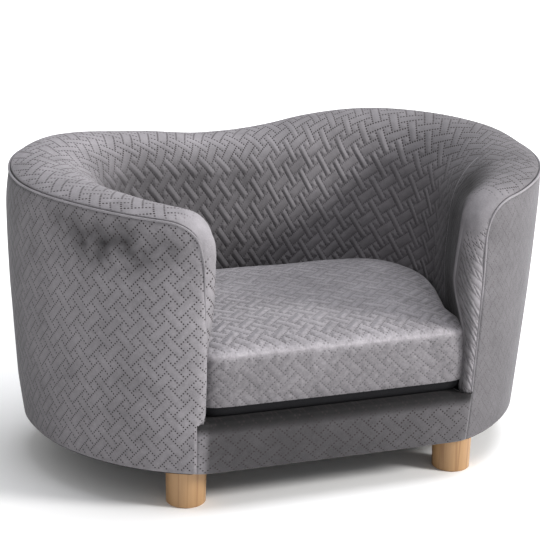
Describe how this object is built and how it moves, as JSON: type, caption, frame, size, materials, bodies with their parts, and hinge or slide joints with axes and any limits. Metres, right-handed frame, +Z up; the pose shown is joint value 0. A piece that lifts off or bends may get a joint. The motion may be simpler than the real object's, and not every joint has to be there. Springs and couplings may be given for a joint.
{
  "type": "dog sofa bed",
  "caption": "Tub-shaped pet sofa with curved padded arms and back, a lift-out seat cushion, a straight front rail and round wooden legs.",
  "frame": {"origin": "middle of the whole sofa's box on X and Y, on the floor", "axes": "+X from the left arm to the right arm as seen from the front, +Y towards the back, +Z up"},
  "size_m": [0.6772, 0.4168, 0.3879],
  "materials": {
    "grey_velvet": "short soft pile quilted in a basket weave, blotchy sheen",
    "welt_velvet": "the same pile over a thin cord",
    "foam": null,
    "light_beech": "clear satin lacquer over light straight grain",
    "black_cloth": "matt non-woven cloth",
    "zinc_steel": "zinc plated",
    "zip_cloth": "woven tape",
    "zip_nylon": "nylon coil",
    "zip_metal": "nickel plated",
    "fibreboard": "bare bent board",
    "pine_frame": "bare sawn wood"
  },
  "bodies": {
    "sofa": {"arm_foam_left": "foam", "arm_foam_right": "foam", "arm_lining_left": "grey_velvet", "arm_lining_right": "grey_velvet", "back_block_left": "pine_frame", "back_block_right": "pine_frame", "back_foam": "foam", "back_lining": "grey_velvet", "back_post_left": "pine_frame", "back_post_right": "pine_frame", "base_board": "pine_frame", "corner_block_left": "pine_frame", "corner_block_right": "pine_frame", "corner_post_left": "pine_frame", "corner_post_right": "pine_frame", "deck_cloth": "black_cloth", "dust_cover": "black_cloth", "dust_cover_staples": "zinc_steel", "frame_screws": "zinc_steel", "front_block_left": "pine_frame", "front_block_right": "pine_frame", "front_post_left": "pine_frame", "front_post_right": "pine_frame", "front_rail_board": "pine_frame", "front_rail_cover": "grey_velvet", "front_rail_foam": "foam", "front_welt_left": "welt_velvet", "front_welt_right": "welt_velvet", "hanger_bolts": "zinc_steel", "inner_board": "fibreboard", "leg_front_left": "light_beech", "leg_front_right": "light_beech", "leg_rear_left": "light_beech", "leg_rear_right": "light_beech", "outer_board": "fibreboard", "outer_cover": "grey_velvet", "seat_board": "pine_frame", "side_block_left": "pine_frame", "side_block_right": "pine_frame", "side_post_left": "pine_frame", "side_post_right": "pine_frame", "tee_nuts": "zinc_steel", "top_rail": "pine_frame", "top_welt": "welt_velvet"},
    "cushion": {"cushion_base_cloth": "black_cloth", "cushion_boxing": "grey_velvet", "cushion_foam": "foam", "cushion_top_panel": "grey_velvet", "zip_tape": "zip_cloth", "zip_coil": "zip_nylon"},
    "slider": {"zip_slider": "zip_metal", "zip_pull": "zip_metal"}
  },
  "joints": [
    {"name": "cushion_lift", "type": "slide", "parent": "sofa", "child": "cushion", "axis": [0, 0, 1], "range_m": [0, 0.29]},
    {"name": "zip_slide", "type": "slide", "parent": "cushion", "child": "slider", "axis": [1, 0, 0], "range_m": [0, 0.196]}
  ]
}
